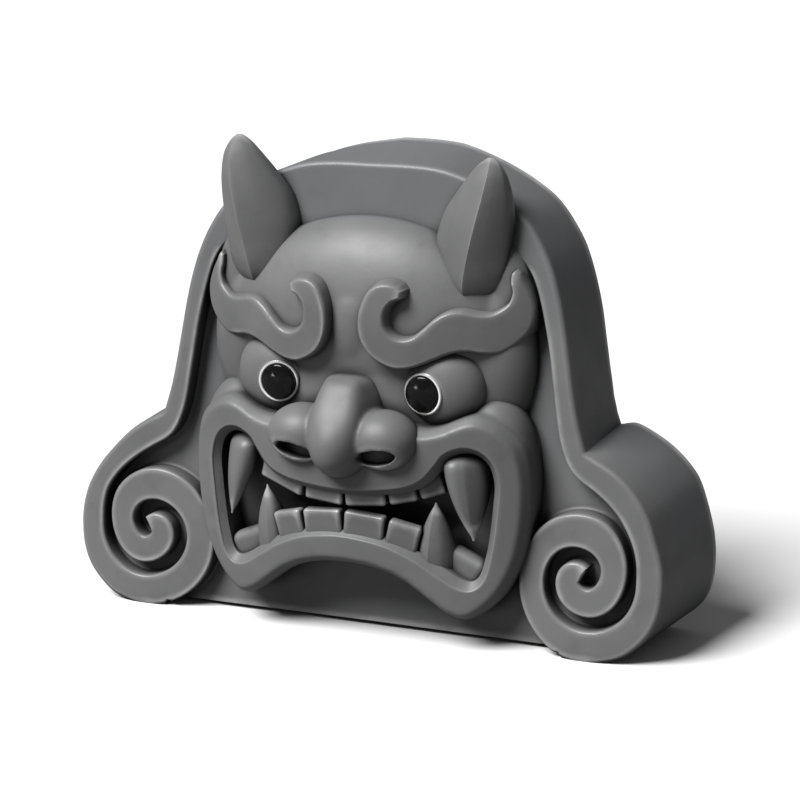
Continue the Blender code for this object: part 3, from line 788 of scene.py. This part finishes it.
def smokedClay():
    made = Finish("smoked_clay_skin")
    place = made.node("ShaderNodeTexCoord", {}, {}, output=3)
    clouds = made.noise(place, **clay["clouds"])
    smudges = made.noise(place, **clay["smudges"])
    grains = made.noise(place, **clay["grains"])
    colour = made.mix(made.ramp(clouds, clay["paleLimits"]) * clay["paleShare"], clay["grey"], clay["pale"])
    colour = made.mix(made.ramp(smudges, clay["darkLimits"]) * clay["darkShare"], colour, clay["dark"])
    # painted shade: what lies deeper than the front faces, mostly the side walls, is painted darker and
    # bluish
    depth = made.part(place, 1)
    colour = made.mix(made.ramp(depth, clay["paintedWallLimits"]) * clay["paintedWallShare"], colour, clay["paintedWallShade"])
    # painted shade: creases and hollows, where little light reaches, are painted near black
    creaseShade = 1.0 - made.ramp(made.openness(clay["creaseReach"]), clay["creaseLimits"])
    hollowShade = 1.0 - made.ramp(made.openness(clay["hollowReach"]), clay["hollowLimits"])
    colour = made.mix(hollowShade * clay["paintedShadeShare"], colour, clay["specksAndPaintedShade"])
    colour = made.mix(creaseShade * clay["paintedShadeShare"], colour, clay["specksAndPaintedShade"])
    speck = made.node("ShaderNodeTexVoronoi", {}, {"Vector": place, "Scale": clay["specks"]})
    patches = made.noise(place, **clay["speckPatches"])
    specks = (1.0 - made.ramp(speck, clay["speckLimits"])) * made.ramp(patches, clay["patchLimits"])
    colour = made.mix(specks * clay["speckShare"], colour, clay["specksAndPaintedShade"])
    # edges: painted highlight makes them pale, and rubbing by hands and weather makes them smooth and
    # glossy
    edge = 1.0 - made.ramp(made.openness(clay["edgeReach"], inside=True), clay["edgeLimits"])
    wear = clay["evenWear"] + (1.0 - clay["evenWear"]) * made.ramp(smudges, clay["wearLimits"])
    edgeWearAndHighlight = edge * (1.0 - creaseShade) * (1.0 - hollowShade) * wear
    colour = made.mix(edgeWearAndHighlight * clay["edgeHighlightShare"], colour, clay["edgeWearAndHighlight"])
    # the ring round each pupil is polished bright
    pupilAside, _, pupilUp = eye["pupilAt"]
    sideways = (made.part(place, 0) ** 2.0) ** 0.5 - pupilAside * mm
    upwards = made.part(place, 2) - (middle.z + pupilUp) * mm
    fromPupil = (sideways ** 2.0 + upwards ** 2.0) ** 0.5
    ring = 1.0 - made.ramp(fromPupil, ((clay["ringEdge"] - clay["ringSoft"]) * mm, clay["ringEdge"] * mm))
    back = middle.y + clay["ringBack"]
    ring = ring * (1.0 - made.ramp(depth, (back * mm, (back + clay["ringFade"]) * mm)))
    colour = made.mix(ring, colour, clay["polished"])
    made.feed(made.shader.inputs["Base Color"], colour)
    roughness = clay["roughness"] + (smudges - 0.5) * clay["smudgeRough"]
    roughness = roughness + creaseShade * clay["creaseRough"] - edgeWearAndHighlight * clay["rubbedRough"]
    made.feed(made.shader.inputs["Roughness"], roughness)
    made.feed(made.shader.inputs["Coat Weight"], edgeWearAndHighlight * clay["coat"])
    made.feed(made.shader.inputs["Coat Roughness"], clay["coatRough"])
    grainShare, smudgeShare, dentShare = clay["relief"]
    height = grains * grainShare + smudges * smudgeShare + made.noise(place, **clay["dents"]) * dentShare
    bump = {"Strength": clay["bump"], "Distance": clay["bumpHeight"], "Height": height}
    made.feed(made.shader.inputs["Normal"], made.node("ShaderNodeBump", {}, bump))
    made.feed(made.shader.inputs["Specular IOR Level"], clay["shine"])
    return made.material


glaze = {
    "black": (0.003, 0.003, 0.003), "dust": (0.007, 0.007, 0.007),
    "dusting": {"scale": 160.0, "detail": 4.0},
    "dustLimits": (0.45, 0.75), "roughness": 0.10, "dustRough": 0.05, "shine": 0.16,
}


def blackGlaze():
    made = Finish("black_glaze_skin")
    place = made.node("ShaderNodeTexCoord", {}, {}, output=3)
    dust = made.noise(place, **glaze["dusting"])
    colour = made.mix(made.ramp(dust, glaze["dustLimits"]), glaze["black"], glaze["dust"])
    made.feed(made.shader.inputs["Base Color"], colour)
    made.feed(made.shader.inputs["Roughness"], glaze["roughness"] + dust * glaze["dustRough"])
    made.feed(made.shader.inputs["Specular IOR Level"], glaze["shine"])
    return made.material


tile = makeSlab()
print("slab")
carve(tile, makePanelCutter())
print("panel and grooves")
add(tile, makeHead())
add(tile, makeMuzzle())
carve(tile, makeMouthCutter())
print("head and mouth")
add(tile, egg("eyeball", *eye["ball"], both=True))
add(tile, makeBrow())
for side in ("right", "left"):
    add(tile, makeHorn(side))
print("brows and horns")
add(tile, makeNose())
for row in ("upper", "lower"):
    for tooth in makeTeeth(teeth[row]):
        add(tile, tooth)
for name, values in fangs.items():
    add(tile, makeFang(name, *values))
add(tile, makeCornerTooth())
print("nose, teeth and fangs")
add(tile, makeLash())
for side in (1, -1):
    hole = makePupil("pupilHole", side, eye["pupilRadius"] + eye["gap"], eye["pupilBulge"] + eye["gap"])
    carve(tile, hole)
carve(tile, makePocketCutter())
carve(tile, makeFootCutter())
tile.name = "ogre_tile_skin"
tile.data.name = "ogre_tile_skin"
tile.data.materials.clear()
tile.data.materials.append(smokedClay())
shade(tile, crisp=24.0)
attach(tile, "root")
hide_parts("ogre_tile")
print("tile finished")

black = blackGlaze()
for name, side in (("pupil_right", 1), ("pupil_left", -1)):
    pupil = makePupil(name + "_glazed", side, eye["pupilRadius"], eye["pupilBulge"])
    pupil.data.materials.append(black)
    shade(pupil, crisp=40.0)
    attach(pupil, "root")
    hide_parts(name)
print("pupils")


studio = {
    # the floor and the sky as they are looked at, and darker as they throw light back
    "floor": (0.47, 0.47, 0.47), "floorBounce": (0.17, 0.17, 0.17), "floorSize": 6.0, "floorRough": 0.9,
    "skySeen": 1.05, "sky": 0.19,
    # where each light comes from, how strong it is and how wide, in degrees
    "key": ((-0.37, -0.49, 0.79), 9.0, 30.0),              # broad, from the upper left
    "catch": ((-0.57, -0.82, -0.02), 0.25, 6.0),           # the glint in the eyes
    # the camera's turn, rise and roll in degrees, then how far off it stands and how far it is moved
    "turn": 25.0, "rise": 15.0, "roll": -1.65, "away": 1512.6, "aside": 28.6, "above": 9.7,
    "lens": 111.0, "sensor": 36.0,
}


def cameraAxes():
    turn, rise, roll = (math.radians(studio[name]) for name in ("turn", "rise", "roll"))
    right = Vector((math.cos(turn), math.sin(turn), 0.0))
    forward = Vector((-math.sin(turn) * math.cos(rise), math.cos(turn) * math.cos(rise), -math.sin(rise)))
    up = right.cross(forward)
    rolledRight = math.cos(roll) * right + math.sin(roll) * up
    rolledUp = math.cos(roll) * up - math.sin(roll) * right
    return rolledRight, rolledUp, forward


def makeCamera():
    right, up, forward = cameraAxes()
    place = (right * studio["aside"] + up * studio["above"] - forward * studio["away"] + middle) * mm
    data = bpy.data.cameras.new("camera")
    data.sensor_width = studio["sensor"]
    data.lens = studio["lens"]
    camera = bpy.data.objects.new("camera", data)
    camera.matrix_world = Matrix.Translation(place) @ Matrix((right, up, -forward)).transposed().to_4x4()
    bpy.context.scene.collection.objects.link(camera)
    bpy.context.scene.camera = camera


def makeLight(name, source, strength, soft):
    data = bpy.data.lights.new(name, "SUN")
    data.energy = strength
    data.angle = math.radians(soft)
    light = bpy.data.objects.new(name, data)
    light.rotation_euler = (-Vector(source)).to_track_quat("-Z", "Y").to_euler()
    bpy.context.scene.collection.objects.link(light)


def makeSky():
    # white to look at, dim as a light
    sky = bpy.data.worlds.new("sky")
    sky.use_nodes = True
    tree = sky.node_tree
    background = tree.nodes["Background"]
    background.inputs["Color"].default_value = (1.0, 1.0, 1.0, 1.0)
    seen = tree.nodes.new("ShaderNodeLightPath")
    strength = tree.nodes.new("ShaderNodeMapRange")
    strength.inputs["To Min"].default_value = studio["sky"]
    strength.inputs["To Max"].default_value = studio["skySeen"]
    tree.links.new(seen.outputs["Is Camera Ray"], strength.inputs["Value"])
    tree.links.new(strength.outputs["Result"], background.inputs["Strength"])
    bpy.context.scene.world = sky
    bpy.context.scene.view_settings.view_transform = "Standard"


def makeFloor():
    shape = bmesh.new()
    bmesh.ops.create_grid(shape, x_segments=1, y_segments=1, size=studio["floorSize"])
    floor = formFrom(shape, "floor")
    pale = Finish("floor_paint")
    seen = pale.node("ShaderNodeLightPath", {}, {})
    pale.feed(pale.shader.inputs["Base Color"], pale.mix(seen, studio["floorBounce"], studio["floor"]))
    pale.feed(pale.shader.inputs["Roughness"], studio["floorRough"])
    floor.data.materials.append(pale.material)


makeCamera()
makeFloor()
makeLight("key", *studio["key"])
makeLight("catch", *studio["catch"])
makeSky()
print("studio")
